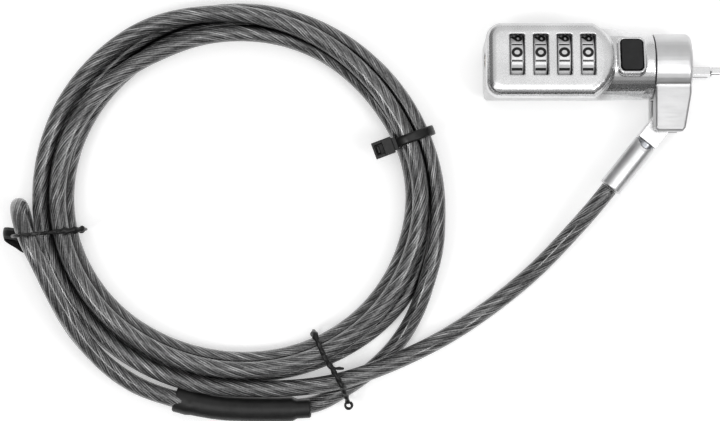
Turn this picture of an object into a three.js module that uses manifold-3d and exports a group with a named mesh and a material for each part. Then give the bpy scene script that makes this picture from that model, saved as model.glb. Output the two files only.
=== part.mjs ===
// Laptop cable lock: four-dial combination head with a T-bar for a standard lock slot, a swivel
// collar, a pivoting cable end, and a plastic-covered steel cable tied up in a four-turn coil.
// Units are millimetres, +Z is up, +X points to the T-bar, and the lock lies on its back on Z = 0.
import * as THREE from 'three';
import { mergeVertices } from 'three/addons/utils/BufferGeometryUtils.js';
import Module from 'manifold-3d';

const wasm = await Module();
wasm.setup();

// Driving dimensions.
const GAP = 0.3;
const MESH_TOLERANCE = 0.01;
const SEAM_X = 16.4;
const AXIS_Y = 8.4;
const AXIS_Z = 11.63;
const ROLL = THREE.MathUtils.degToRad(10);
const BODY_LENGTH = 54.7;
const BODY_LOW_Y = -12.1;
const BODY_HIGH_Y = 12.4;
const FACE_Z = 12;
const BACK_Z = -10.8;
const EDGE_R = 3.2;
const NECK_R = 10.65;
const DIAL_Y = 1.3;
const DIAL_Z = 3;
const DIAL_R = 9;
const DIAL_W = 4.2;
const DIAL_PITCH = 7.62;
const FIRST_NUMBER = THREE.MathUtils.degToRad(4.5);
const DIAL_X0 = -44.8;
const WINDOW = { x: 4.8, y: 13.6 };
const BUTTON = { x: -7.75, w: 6.7, l: 10.3, tilt: THREE.MathUtils.degToRad(7), top: 11.8, bottom: 6.2 };
const COLLAR_R = 10.8;
const COLLAR_X = [0.3, 12.2];
const ARM = { end: -21.3, low: -7.5, high: 8.9 };
const PIN = { x: 6.2, y: -14.6, r: 1.6 };
const T_BAR_Y = -2;
const TIP_X = 22;
const SCREW_X = [-49.2, -17];
const SLOT_W = 2.8;
const SLOT_L = 6.6;
const CABLE_D = 5.5;
const LINK_ANGLE = THREE.MathUtils.degToRad(38.5);
const LINK_LENGTH = 12.8;
const FERRULE = { r: 3.5, length: 18.7 };
const COIL = { x: -118.3, y: -34.25, z: 7.9, rx: 61, ry: 58.3, halfWidth: 7.2, halfHeight: 6.6 };

// Finishes.
const finish = (color, roughness, metalness) => new THREE.MeshStandardMaterial({ color, roughness, metalness });
const castZinc = finish(0xc9cacb, 0.3, 1);
const brushedSteel = finish(0xd2d3d4, 0.38, 1);
const brightSteel = finish(0xe6e7e8, 0.2, 1);
const blackPlastic = finish(0x1b1b1c, 0.6, 0);
const springSteel = finish(0x8d9196, 0.35, 1);
const cableGrey = finish(0x55575a, 0.35, 0.3);
const brass = finish(0xb8995a, 0.35, 1);

// Solid helpers: closed geometry to manifold and back.
function solid(geometry) {
  const bare = geometry.clone();
  bare.deleteAttribute('normal');
  bare.deleteAttribute('uv');
  const merged = mergeVertices(bare, 1e-4);
  const vertProperties = new Float32Array(merged.attributes.position.array);
  const triVerts = new Uint32Array(merged.index.array);
  return new wasm.Manifold(new wasm.Mesh({ numProp: 3, vertProperties, triVerts }));
}

function geometryOf(manifold) {
  const { vertProperties, triVerts } = manifold.simplify(MESH_TOLERANCE).getMesh();
  const geometry = new THREE.BufferGeometry();
  geometry.setAttribute('position', new THREE.BufferAttribute(new Float32Array(vertProperties), 3));
  geometry.setIndex(new THREE.BufferAttribute(new Uint32Array(triVerts), 1));
  geometry.computeVertexNormals();
  return geometry;
}

function box(x0, x1, y0, y1, z0, z1) {
  const geometry = new THREE.BoxGeometry(x1 - x0, y1 - y0, z1 - z0);
  geometry.translate((x0 + x1) / 2, (y0 + y1) / 2, (z0 + z1) / 2);
  return geometry;
}

// A round body along X from pairs [x, radius]; the pairs close on the axis at both ends.
function turnedX(pairs, y = 0, z = 0, segments = 32) {
  const profile = pairs.map(([x, r]) => new THREE.Vector2(r, -x));
  const geometry = new THREE.LatheGeometry(profile.reverse(), segments);
  geometry.rotateZ(Math.PI / 2);
  geometry.translate(0, y, z);
  return geometry;
}

const rodX = (x0, x1, r, y = 0, z = 0, segments = 32) =>
  turnedX([[x0, 0], [x0, r], [x1, r], [x1, 0]], y, z, segments);

const ringX = (x0, x1, rIn, rOut, y = 0, z = 0, segments = 32) =>
  turnedX([[x0, rIn], [x0, rOut], [x1, rOut], [x1, rIn], [x0, rIn]], y, z, segments);

function rodZ(x, y, r, z0, z1, segments = 24) {
  const geometry = new THREE.CylinderGeometry(r, r, z1 - z0, segments);
  geometry.rotateX(Math.PI / 2);
  geometry.translate(x, y, (z0 + z1) / 2);
  return geometry;
}

// Extrudes a Y-Z outline along X.
function extrudeAlongX(shape, x0, x1, curveSegments = 6) {
  const geometry = new THREE.ExtrudeGeometry(shape, { depth: x1 - x0, bevelEnabled: false, curveSegments });
  const toX = new THREE.Matrix4().makeBasis(
    new THREE.Vector3(0, 1, 0), new THREE.Vector3(0, 0, 1), new THREE.Vector3(1, 0, 0));
  geometry.applyMatrix4(toX);
  geometry.translate(x0, 0, 0);
  return geometry;
}

function roundedRect(x0, x1, y0, y1, r) {
  const shape = new THREE.Shape();
  shape.moveTo(x0 + r, y0);
  shape.lineTo(x1 - r, y0);
  shape.absarc(x1 - r, y0 + r, r, -Math.PI / 2, 0);
  shape.lineTo(x1, y1 - r);
  shape.absarc(x1 - r, y1 - r, r, 0, Math.PI / 2);
  shape.lineTo(x0 + r, y1);
  shape.absarc(x0 + r, y1 - r, r, Math.PI / 2, Math.PI);
  shape.lineTo(x0, y0 + r);
  shape.absarc(x0 + r, y0 + r, r, Math.PI, 1.5 * Math.PI);
  return shape;
}

// A round tube along a curve with flat ends.
function tube(points, diameter, steps, sides = 8) {
  const section = new THREE.Shape();
  for (let i = 0; i < sides; i += 1) {
    const a = (i / sides) * 2 * Math.PI;
    const move = i === 0 ? 'moveTo' : 'lineTo';
    section[move]((diameter / 2) * Math.cos(a), (diameter / 2) * Math.sin(a));
  }
  const path = new THREE.CatmullRomCurve3(points.map(([x, y, z]) => new THREE.Vector3(x, y, z)));
  return new THREE.ExtrudeGeometry(section, { steps, bevelEnabled: false, extrudePath: path });
}

function coilSpring(place, radius, wire, turns, length) {
  const points = [];
  for (let i = 0; i <= turns * 6; i += 1) {
    const a = (i / 6) * 2 * Math.PI;
    points.push(place(radius * Math.cos(a), radius * Math.sin(a), (length * i) / (turns * 6)));
  }
  return tube(points, wire, turns * 6, 4);
}

function add(group, name, shape, material) {
  const mesh = new THREE.Mesh(shape.isBufferGeometry ? shape : geometryOf(shape), material.clone());
  mesh.name = name;
  group.add(mesh);
}

const lockAssembly = new THREE.Group();
const head = new THREE.Group();
head.position.set(SEAM_X, AXIS_Y, AXIS_Z);
const rolled = new THREE.Group();
rolled.rotation.x = -ROLL;
head.add(rolled);
lockAssembly.add(head);

// Outer form of the cast housing: a dial block with rounded edges that runs into a round neck.
function housingOutline() {
  const section = new THREE.Shape();
  section.moveTo(BODY_LOW_Y + 7, BACK_Z);
  section.lineTo(BODY_HIGH_Y - 7, BACK_Z);
  section.bezierCurveTo(BODY_HIGH_Y - 2.5, BACK_Z, BODY_HIGH_Y - 0.9, -3, BODY_HIGH_Y, FACE_Z - EDGE_R);
  section.absarc(BODY_HIGH_Y - EDGE_R, FACE_Z - EDGE_R, EDGE_R, 0, Math.PI / 2);
  section.lineTo(BODY_LOW_Y + EDGE_R, FACE_Z);
  section.absarc(BODY_LOW_Y + EDGE_R, FACE_Z - EDGE_R, EDGE_R, Math.PI / 2, Math.PI);
  section.bezierCurveTo(BODY_LOW_Y + 0.9, -3, BODY_LOW_Y + 2.5, BACK_Z, BODY_LOW_Y + 7, BACK_Z);
  return section;
}

function housingPlan() {
  const corner = 5.2;
  const plan = new THREE.Shape();
  plan.moveTo(-BODY_LENGTH + corner, BODY_LOW_Y - 0.1);
  plan.lineTo(-20, BODY_LOW_Y - 0.1);
  plan.quadraticCurveTo(-12.6, BODY_LOW_Y + 4, -12.6, 0);
  plan.quadraticCurveTo(-12.6, BODY_HIGH_Y - 4, -20, BODY_HIGH_Y + 0.1);
  plan.lineTo(-BODY_LENGTH + corner, BODY_HIGH_Y + 0.1);
  plan.absarc(-BODY_LENGTH + corner, BODY_HIGH_Y + 0.1 - corner, corner, Math.PI / 2, Math.PI);
  plan.lineTo(-BODY_LENGTH, BODY_LOW_Y - 0.1 + corner);
  plan.absarc(-BODY_LENGTH + corner, BODY_LOW_Y - 0.1 + corner, corner, Math.PI, 1.5 * Math.PI);
  return plan;
}

// The long soft slope that takes the dial face down to the neck.
function faceSlope() {
  const plan = new THREE.Shape();
  plan.moveTo(-70, -30);
  plan.lineTo(-24, -30);
  plan.bezierCurveTo(-14, -14, -11.4, -8, -11.4, 0);
  plan.bezierCurveTo(-11.4, 8, -14, 14, -24, 30);
  plan.lineTo(-70, 30);
  const slope = new THREE.ExtrudeGeometry(plan, {
    depth: 30, bevelEnabled: true, bevelThickness: 2.2, bevelSize: 5.4, bevelOffset: -5.4,
    bevelSegments: 4, curveSegments: 6 });
  slope.translate(0, 0, FACE_Z - 32.2);
  return slope;
}

function housingOuter() {
  const block = new THREE.ExtrudeGeometry(housingPlan(), {
    depth: FACE_Z - BACK_Z - 2 * EDGE_R, bevelEnabled: true, bevelThickness: EDGE_R,
    bevelSize: EDGE_R, bevelOffset: -EDGE_R, bevelSegments: 4, curveSegments: 5 });
  block.translate(0, 0, BACK_Z + EDGE_R);
  const section = solid(extrudeAlongX(housingOutline(), -BODY_LENGTH - 1, 1));
  const neck = solid(rodX(-30, 0, NECK_R, 0, 0, 48));
  const shoulderProfile = [[-26, 0], [-26, 13.2], [-18, 13.2], [-13, 12.6], [-8, 11.5], [-2, NECK_R], [-2, 0]];
  const oval = new THREE.Shape();
  oval.absellipse(1, 0, 12, NECK_R, 0, 2 * Math.PI);
  const shoulder = solid(turnedX(shoulderProfile, 0, 0, 48)).intersect(solid(extrudeAlongX(oval, -27, 1, 24)));
  return solid(block).intersect(solid(faceSlope())).add(shoulder).intersect(section).add(neck);
}

const tilted = (geometry) => geometry.rotateX(-BUTTON.tilt);

function buttonPlate(grow, low, high, radius) {
  const [w, l] = [BUTTON.w / 2 + grow, BUTTON.l / 2 + grow];
  const shape = roundedRect(BUTTON.x - w, BUTTON.x + w, -l, l, radius);
  const geometry = new THREE.ExtrudeGeometry(shape, { depth: high - low, bevelEnabled: false, curveSegments: 4 });
  geometry.translate(0, 0, low);
  return tilted(geometry);
}

const dialCentres = [0, 1, 2, 3].map((i) => DIAL_X0 + i * DIAL_PITCH);
const coverBox = (grow) => box(-51 - grow, -15 + grow, -6.6 - grow, 7 + grow, BACK_Z - 1, -9.2 + grow);

// Cavities: four dial pockets open at the back, the spindle bore, the button well and the neck bore.
function housingCavities() {
  let cuts = solid(rodX(-BODY_LENGTH - 1, -11, 3.1, DIAL_Y, DIAL_Z));
  for (const x of dialCentres) {
    const half = WINDOW.x / 2;
    cuts = cuts.add(solid(rodX(x - half, x + half, DIAL_R + 0.35, DIAL_Y, DIAL_Z, 36)));
    cuts = cuts.add(solid(box(x - half, x + half, DIAL_Y - WINDOW.y / 2, DIAL_Y + WINDOW.y / 2, 3, FACE_Z + 1)));
    cuts = cuts.add(solid(box(x - half, x + half, -6.3, 6.7, BACK_Z - 1, 0)));
  }
  cuts = cuts.add(solid(coverBox(GAP)));
  for (const x of SCREW_X) cuts = cuts.add(solid(rodZ(x, DIAL_Y, 1.3, BACK_Z, BACK_Z + 5.6)));
  cuts = cuts.add(solid(box(-48.3, -17.9, DIAL_Y - 2.4, DIAL_Y + 2.4, -9.3, -6)));
  cuts = cuts.add(solid(buttonPlate(GAP, 2.4, 14, 1.5)));
  cuts = cuts.add(solid(rodX(-8.6, 12, 1.6, T_BAR_Y, 0)));
  cuts = cuts.add(solid(rodX(-7.8, -3, 2.3, T_BAR_Y, 0)));
  cuts = cuts.add(solid(tilted(box(-6.3, -4, -0.1, 2, -4.5, 4))));
  return cuts;
}

function addHousing() {
  const bezel = solid(buttonPlate(1.15, 6, 11.3, 2.4));
  const spigotProfile = [[-1, 0], [-1, 6.2], [7.4, 6.2], [7.4, 5.4], [8.6, 5.4], [8.6, 6.2], [9.6, 6.2], [9.6, 0]];
  const spigot = solid(turnedX(spigotProfile));
  const outer = housingOuter().add(bezel).add(spigot);
  add(rolled, 'housing', outer.subtract(housingCavities()), castZinc);
  const cover = solid(coverBox(0)).intersect(housingOuter());
  const screwHoles = SCREW_X.map((x) => solid(rodZ(x, DIAL_Y, 1.3, -14, 0)));
  add(rolled, 'back_cover', cover.subtract(screwHoles[0]).subtract(screwHoles[1]), castZinc);
}

// The dials, their clutch rings, the spindle, the springs and the reset screw.
function addDial(index, x) {
  const half = DIAL_W / 2;
  let dial = solid(turnedX([[x - half, 5.5], [x - half, 8.6], [x - half + 0.4, DIAL_R], [x + half - 0.4, DIAL_R],
    [x + half, 8.6], [x + half, 5.5], [x - half, 5.5]], DIAL_Y, DIAL_Z, 30));
  const facets = new THREE.Shape();
  for (let i = 0; i < 10; i += 1) {
    const angle = ((i + 0.5) / 10) * 2 * Math.PI + FIRST_NUMBER;
    facets[i === 0 ? 'moveTo' : 'lineTo'](9.3 * Math.sin(angle), 9.3 * Math.cos(angle));
  }
  const prism = extrudeAlongX(facets, x - half - 1, x + half + 1);
  prism.translate(0, DIAL_Y, DIAL_Z);
  dial = dial.intersect(solid(prism));
  for (let i = 0; i < 10; i += 1) {
    const angle = ((i + 0.5) / 10) * 2 * Math.PI - FIRST_NUMBER;
    const groove = new THREE.BoxGeometry(6, 0.5, 0.6);
    groove.translate(x, 0, DIAL_R);
    groove.rotateX(angle);
    groove.translate(0, DIAL_Y, DIAL_Z);
    dial = dial.subtract(solid(groove));
  }
  add(rolled, `dial_${index + 1}`, dial, brushedSteel);
  add(rolled, `clutch_ring_${index + 1}`, ringX(x - 1.9, x + 1.9, 3.4, 5.2, DIAL_Y, DIAL_Z, 16), brass);
}

function addSpindle() {
  const profile = [[-51.5, 0], [-51.5, 2.7]];
  for (const x of dialCentres) profile.push([x - 2.6, 2.7], [x - 2.4, 2.2], [x + 2.4, 2.2], [x + 2.6, 2.7]);
  profile.push([-17.5, 2.7], [-17.2, 1.4], [-15, 1.4], [-15, 0]);
  add(rolled, 'locking_spindle', turnedX(profile, DIAL_Y, DIAL_Z, 12), springSteel);
  const springPlace = (u, v, s) => [-15.9 + s, DIAL_Y + u, DIAL_Z + v];
  add(rolled, 'spindle_spring', coilSpring(springPlace, 2.2, 0.6, 4, 4.4), springSteel);
  const head = solid(rodX(-54.4, -51.9, 2.8, DIAL_Y, DIAL_Z, 24));
  const slot = solid(box(-55, -53.6, DIAL_Y - 3, DIAL_Y + 3, DIAL_Z - 0.4, DIAL_Z + 0.4));
  add(rolled, 'reset_screw', head.subtract(slot), brass);
}

// A leaf spring with one bump under each dial.
function addDetentSpring() {
  const thick = 0.4;
  const points = [[-47.6, -8.8]];
  for (const x of dialCentres) points.push([x - 2.2, -8.8], [x, -6.8], [x + 2.2, -8.8]);
  points.push([-18.6, -8.8]);
  const outline = new THREE.Shape(points.map(([x, z]) => new THREE.Vector2(x, z)));
  for (const [x, z] of points.reverse()) outline.lineTo(x, z + thick);
  const leaf = new THREE.ExtrudeGeometry(outline, { depth: 3.6, bevelEnabled: false });
  leaf.rotateX(Math.PI / 2);
  leaf.translate(0, DIAL_Y + 1.8, 0);
  add(rolled, 'detent_leaf_spring', leaf, springSteel);
}

function addCoverScrew(name, x) {
  const profile = [[0, 0], [0, 1], [5, 1], [5, 0]];
  const screw = solid(turnedX(profile, 0, 0, 12));
  const cross = solid(box(-1, 0.5, -0.9, 0.9, -0.25, 0.25)).add(solid(box(-1, 0.5, -0.25, 0.25, -0.9, 0.9)));
  const geometry = geometryOf(screw.subtract(cross));
  geometry.rotateY(-Math.PI / 2);
  geometry.translate(x, DIAL_Y, BACK_Z + 0.2);
  add(rolled, name, geometry, springSteel);
}

// The push button with its rack leg and return spring, and the T-bar that it turns.
function addButtonAndTBar() {
  const leg = solid(tilted(box(-6, -4.3, 0.2, 1.5, -0.5, BUTTON.bottom + 1)));
  const cap = solid(buttonPlate(0, BUTTON.bottom, BUTTON.top, 1.3));
  const springSeat = solid(tilted(rodZ(-9.3, 1, 1.5, BUTTON.bottom - 1, 8.8)));
  add(rolled, 'push_button', cap.add(leg).subtract(springSeat), blackPlastic);
  const springPlace = (u, v, s) => {
    const point = new THREE.Vector3(-9.3 + u, v + 1, 2.8 + s).applyAxisAngle(new THREE.Vector3(1, 0, 0), -BUTTON.tilt);
    return point.toArray();
  };
  add(rolled, 'button_spring', coilSpring(springPlace, 0.9, 0.4, 4, 2.8), springSteel);
  const shaft = solid(rodX(-8.2, TIP_X - 2.4, 1.15, T_BAR_Y, 0, 20));
  const hammer = solid(extrudeAlongX(roundedRect(T_BAR_Y - SLOT_W / 2, T_BAR_Y + SLOT_W / 2,
    -SLOT_L / 2, SLOT_L / 2, 0.6), TIP_X - 2.8, TIP_X, 3));
  add(rolled, 't_bar', shaft.add(hammer), brightSteel);
  add(rolled, 't_bar_pinion', ringX(-7.2, -3.6, 1.45, 1.95, T_BAR_Y, 0, 20), brass);
}

// The nose plate carries the two prongs that stop the head turning in the slot.
function addNose() {
  const plate = solid(rodX(9.9, 12.7, 6.1, 0, 0, 32));
  const prongBlock = solid(box(12.6, 18.7, T_BAR_Y - SLOT_W / 2, T_BAR_Y + SLOT_W / 2, -SLOT_L / 2, SLOT_L / 2))
    .add(solid(box(12, 12.7, T_BAR_Y - SLOT_W / 2, T_BAR_Y + SLOT_W / 2, -SLOT_L / 2, SLOT_L / 2)));
  const bore = solid(rodX(9, 20, 1.6, T_BAR_Y, 0, 20));
  add(rolled, 'nose_guide', plate.add(prongBlock).subtract(bore), brightSteel);
  const clip = solid(ringX(7.7, 8.3, 5.7, 6.9, 0, 0, 32)).subtract(solid(box(7, 9, -1.2, 1.2, 0, 8)));
  add(rolled, 'retaining_ring', clip, springSteel);
}

// The collar turns on the neck and carries the forked arm that holds the cable end.
function addCollar() {
  const [x0, x1] = COLLAR_X;
  const arc = [0, 1, 2, 3].map((i) => {
    const a = (i / 3) * (Math.PI / 2);
    return [x1 - 1.4 + 1.4 * Math.sin(a), COLLAR_R - 1.4 + 1.4 * Math.cos(a)];
  });
  const drum = solid(turnedX([[x0, 0], [x0, COLLAR_R], ...arc, [x1, 0]], 0, 0, 48));
  const outline = new THREE.Shape();
  outline.moveTo(x0 - 0.2, -3);
  outline.lineTo(x0 - 0.2, -9);
  outline.lineTo(x0 - 0.2, ARM.end + 1.2);
  outline.lineTo(x0 + 0.8, ARM.end);
  outline.lineTo(x1 - 3.2, ARM.end);
  outline.lineTo(x1 - 2.2, ARM.end + 1.2);
  outline.lineTo(x1 - 0.3, -9);
  outline.lineTo(x1 - 0.3, -3);
  const arm = new THREE.ExtrudeGeometry(outline, {
    depth: ARM.high - ARM.low - 1.6, bevelEnabled: true, bevelThickness: 0.8, bevelSize: 0.8,
    bevelOffset: -0.8, bevelSegments: 2, curveSegments: 4 });
  arm.translate(0, 0, ARM.low + 0.8);
  const bore = solid(turnedX([[-1, 0], [-1, 6.5], [7.4, 6.5], [7.4, 7.3], [8.6, 7.3], [8.6, 6.5], [14, 6.5], [14, 0]]));
  const fork = solid(box(-2, 14, ARM.end - 1, -10.9, -3.1, 3.1));
  const pinHole = solid(rodZ(PIN.x, PIN.y, PIN.r + GAP, ARM.low - 1, 6.3));
  add(head, 'swivel_collar', drum.add(solid(arm)).subtract(bore).subtract(fork).subtract(pinHole), brushedSteel);
  add(head, 'pivot_pin', rodZ(PIN.x, PIN.y, PIN.r, ARM.low + 0.2, 6), brightSteel);
}

// The cable end: a flat eye on the pin, a shank inside the crimped ferrule.
function addCableEnd() {
  const cableEnd = new THREE.Group();
  cableEnd.position.set(PIN.x, PIN.y, 0);
  cableEnd.rotation.z = -Math.PI / 2 - LINK_ANGLE;
  head.add(cableEnd);
  const shape = new THREE.Shape();
  shape.absarc(0, 0, 3.4, Math.PI / 2, 1.5 * Math.PI);
  shape.lineTo(LINK_LENGTH, -3.4);
  shape.lineTo(LINK_LENGTH, 3.4);
  const eye = new THREE.ExtrudeGeometry(shape, { depth: 5.6, bevelEnabled: false, curveSegments: 10 });
  eye.translate(0, 0, -2.8);
  const shank = solid(rodX(LINK_LENGTH - 1, LINK_LENGTH + 6, 2.2, 0, 0, 20));
  const hole = solid(rodZ(0, 0, PIN.r + GAP, -4, 4));
  add(cableEnd, 'pivot_link', solid(eye).add(shank).subtract(hole), brightSteel);
  const start = LINK_LENGTH + GAP;
  const end = start + FERRULE.length;
  const { r } = FERRULE;
  const barrel = solid(turnedX([[start, 0], [start, r], [end - 0.4, r], [end, r - 0.4], [end, 0]], 0, 0, 28));
  add(cableEnd, 'ferrule', barrel.subtract(solid(rodX(start - 1, LINK_LENGTH + 6.4, 2.5, 0, 0, 20))), brightSteel);
}

// Route points, by hand, for the stretches of cable that are not in the coil.
const freeRun = [[2.6, -31.3, 11.6], [-1, -35.9, 11.4], [-4.6, -40.2, 10.7], [-10.8, -47.3, 8.5],
  [-18.4, -55.8, 5.3], [-25.8, -62.7, 3.4], [-33.9, -69.2, 2.8], [-42.8, -75.5, 3.5], [-51, -80.4, 6.1],
  [-58, -83.9, 8.6], [-65.8, -87.5, 9.6], [-73, -90.5, 9.8], [-79.5, -92.7, 9.8]];
const returnRun = [[-62.4, -76.2, 4.4], [-65, -80.6, 3.2], [-68.8, -85.4, 2.9], [-73, -89.6, 2.9],
  [-78.8, -94.1, 3.4], [-85.4, -98.4, 4.3], [-89.8, -101.2, 4.2], [-94.2, -103.2, 3.6]];
const loopRun = [[-141.3, -101, 3.4], [-151.6, -97.2, 2.8], [-162.2, -90.4, 2.8], [-171.7, -81, 2.8],
  [-178.9, -69.9, 2.8], [-184.6, -57.4, 3.3], [-188.6, -47.4, 4.3], [-189.9, -41.6, 5.8], [-190.2, -37.7, 9.7],
  [-190.1, -36.2, 15], [-189.4, -37.7, 20.4], [-188.1, -41.6, 24.3], [-185.9, -47.4, 25.8],
  [-181.4, -56.3, 25], [-175.7, -67, 22], [-168.2, -78.8, 17.8], [-160.6, -87.6, 14.4],
  [-151.6, -94.8, 11.2], [-141.3, -99.9, 9]];
const sleevePath = [[-140.1, -100.9, 6], [-134, -102.3, 6], [-126, -103.5, 6], [-117, -104, 6],
  [-106, -104.1, 6], [-95.2, -103.7, 6]];
const SLEEVE = { across: 3.9, up: 5.95, wall: 0.6 };

// Twist-tie routes as pairs [distance out from the bundle, height], in the plane that cuts it.
const leftTie = { centre: [-178.1, -46.4], out: [-1, 0], route: [[-4.6, 15.9], [0, 15.9], [3, 17.6],
  [4, 24.6], [5.4, 28.8], [8, 29.6], [10.6, 28.4], [12, 24.6], [14, 15], [14.4, 5], [13, 1.6], [10, 0.7],
  [0, 0.65], [-5.4, 0.9], [-8.4, 4.6], [-8.5, 10], [-7.2, 13.9], [-6, 15.2]] };
const lowerTie = { centre: [-90.4, -85.9], out: [0.44, -0.898], route: [[-5, 15.2], [0, 15.6], [4.5, 14.6],
  [8.4, 11.8], [10.6, 9.4], [14, 8.3], [17.2, 6], [16.9, 2.6], [13.6, 0.8], [7, 0.65], [0, 0.65], [-5.4, 0.9],
  [-8.5, 4.6], [-8.7, 9.4], [-7.6, 13]] };
const WIRE_D = 1;

function addCable() {
  add(lockAssembly, 'cable_run', tube(freeRun, CABLE_D, 20), cableGrey);
  add(lockAssembly, 'cable_return', tube(returnRun, CABLE_D, 12), cableGrey);
  add(lockAssembly, 'cable_loop', tube(loopRun, CABLE_D, 30), cableGrey);
  const section = [];
  for (let i = 0; i <= 8; i += 1) {
    const a = (i / 8) * 2 * Math.PI;
    section.push(new THREE.Vector2(COIL.rx + COIL.halfWidth * Math.cos(a), COIL.halfHeight * Math.sin(a)));
  }
  const ring = new THREE.LatheGeometry(section, 48);
  ring.rotateX(Math.PI / 2);
  ring.scale(1, COIL.ry / COIL.rx, 1);
  ring.translate(COIL.x, COIL.y, COIL.z);
  add(lockAssembly, 'cable_coil', ring, cableGrey);
}

// An oval bar that follows a level path; "up" and "across" are its half sizes.
function ovalBar(points, across, up, steps) {
  const shape = new THREE.Shape();
  const flat = up - across;
  shape.moveTo(flat, -across);
  shape.absarc(flat, 0, across, -Math.PI / 2, Math.PI / 2);
  shape.lineTo(-flat, across);
  shape.absarc(-flat, 0, across, Math.PI / 2, 1.5 * Math.PI);
  const path = new THREE.CatmullRomCurve3(points.map(([x, y, z]) => new THREE.Vector3(x, y, z)));
  return new THREE.ExtrudeGeometry(shape, { steps, bevelEnabled: false, extrudePath: path, curveSegments: 4 });
}

// The loop's crimp and the shrink sleeve that covers it.
function addLoopJoint() {
  const overshoot = [[-141, -100.7, 6], ...sleevePath.slice(1, -1), [-94, -103.6, 6]];
  const inner = SLEEVE.across - SLEEVE.wall;
  const innerUp = SLEEVE.up - SLEEVE.wall;
  const sleeve = solid(ovalBar(sleevePath, SLEEVE.across, SLEEVE.up, 6));
  add(lockAssembly, 'shrink_sleeve', sleeve.subtract(solid(ovalBar(overshoot, inner, innerUp, 10))), blackPlastic);
  const crimp = ovalBar(sleevePath.slice(1, -1), inner - GAP, innerUp - GAP, 5);
  add(lockAssembly, 'loop_crimp', crimp, brightSteel);
}

function addTwistTie(name, { centre, out, route }) {
  const points = route.map(([s, z]) => [centre[0] + out[0] * s, centre[1] + out[1] * s, z]);
  add(lockAssembly, name, tube(points, WIRE_D, 34, 5), blackPlastic);
}

// A plastic tie strapped round the coil, with its ratchet head on the inner side.
function addZipTie() {
  const strap = new THREE.Shape();
  strap.absellipse(0, 0, 8.45, 7.8, 0, 2 * Math.PI);
  const hole = new THREE.Path();
  hole.absellipse(0, 0, 7.6, 6.95, 0, 2 * Math.PI);
  strap.holes.push(hole);
  const band = new THREE.ExtrudeGeometry(strap, { depth: 3.2, bevelEnabled: false, curveSegments: 16 });
  band.translate(0, 0, -1.6);
  const headShape = roundedRect(-15.2, -7.9, 1.4, 6.2, 1);
  const headBlock = new THREE.ExtrudeGeometry(headShape, { depth: 5.4, bevelEnabled: false, curveSegments: 3 });
  headBlock.translate(0, 0, -2.7);
  const tie = geometryOf(solid(band).add(solid(headBlock)));
  tie.rotateX(Math.PI / 2);
  tie.rotateZ(THREE.MathUtils.degToRad(20.5));
  tie.translate(-61, -14.2, COIL.z);
  add(lockAssembly, 'zip_tie', tie, blackPlastic);
}

addHousing();
dialCentres.forEach((x, index) => addDial(index, x));
addSpindle();
addDetentSpring();
addCoverScrew('cover_screw_rear', SCREW_X[0]);
addCoverScrew('cover_screw_front', SCREW_X[1]);
addButtonAndTBar();
addNose();
addCollar();
addCableEnd();
addCable();
addLoopJoint();
addZipTie();
addTwistTie('twist_tie_left', leftTie);
addTwistTie('twist_tie_lower', lowerTie);

export default lockAssembly;
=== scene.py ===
import math

import bpy
import numpy as np
from mathutils import Matrix, Vector, noise


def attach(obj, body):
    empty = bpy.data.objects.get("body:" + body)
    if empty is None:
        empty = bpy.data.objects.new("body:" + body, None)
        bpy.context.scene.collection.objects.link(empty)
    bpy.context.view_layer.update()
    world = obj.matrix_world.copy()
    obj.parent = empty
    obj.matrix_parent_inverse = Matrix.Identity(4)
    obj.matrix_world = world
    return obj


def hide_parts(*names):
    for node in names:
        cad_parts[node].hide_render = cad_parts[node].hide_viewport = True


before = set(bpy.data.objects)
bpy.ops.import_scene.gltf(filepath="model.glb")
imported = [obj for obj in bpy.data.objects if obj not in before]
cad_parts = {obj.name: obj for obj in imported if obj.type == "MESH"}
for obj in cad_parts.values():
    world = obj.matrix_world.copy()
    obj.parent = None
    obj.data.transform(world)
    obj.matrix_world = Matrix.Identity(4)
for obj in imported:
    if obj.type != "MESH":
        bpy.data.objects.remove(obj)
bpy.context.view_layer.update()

MM = 0.001
scene = bpy.context.scene

# ---------------------------------------------------------------- places, in millimetres
SEAM = Vector((16.4, 8.4, 11.63))  # origin of the lock body's own frame
ROLL = math.radians(10)  # how far the lock body lies rolled about its length
DIAL_AT = (1.3, 3.0)  # y and z of the dials' axis in the body's frame
DIAL_R = 9.0  # over the ridges
FACET_R = 9.3 * math.cos(math.radians(18))  # from the axis to the flat field of a number
DIAL_X0 = -44.8  # middle of the first dial
DIAL_PITCH = 7.62
CABLE_D = 5.5
PIN = Vector((22.6, -6.2, 11.63))  # the pivot pin, and the way the link points from it
LINK_TURN = math.radians(-90 - 38.5)

COIL_CENTRE = Vector((-118.3, -34.25, 7.9))
COIL_R = (61.0, 58.3)  # of the oval, along x and y
COIL_TURNS = 4
COIL_START_DEG = -100
COIL_STEP_DEG = 6
LAP_START_DEG = -90  # a lap of the strand round the bundle is counted from here
STRAND_START_DEG = 20  # where it lies in the first lap
LEAVE_DEG = 18  # the end of the coil moves outwards over this much
LEAVE_OUT = 1.9
COIL_END_DEG = -360 * COIL_TURNS - LEAVE_DEG
RISE = 3.9  # how far a strand lies above or below the bundle's middle
FILL_DEG = -1106  # where a strand bulges outwards to fill a gap
FILL_WIDE_DEG = 30
FILL_OUT = 2.9
SLACK = 0.5
SLACK_WAVE_DEG = 70
UNDER_TUCK = 0.85  # how much of its sideways reach the lowest strand gives up
CABLE_STEP = 1.2
RELAX_ROUNDS = 24

STRANDS = 7
LAY_LENGTH = 46.0
STRAND_RELIEF = 0.006
CABLE_SIDES = 40
# How fast the painted shade between the turns fades with the gap, in mm.
CREVICE_SHADE_REACH = 1.5
NEXT_TURN_AFTER = 25  # a point this much further along belongs to another turn


def body_point(x, y, z):
    """A point of the rolled lock body's own frame, in the row frame."""
    c, s = math.cos(ROLL), math.sin(ROLL)
    return Vector((SEAM.x + x, SEAM.y + y * c + z * s, SEAM.z + z * c - y * s))


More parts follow.
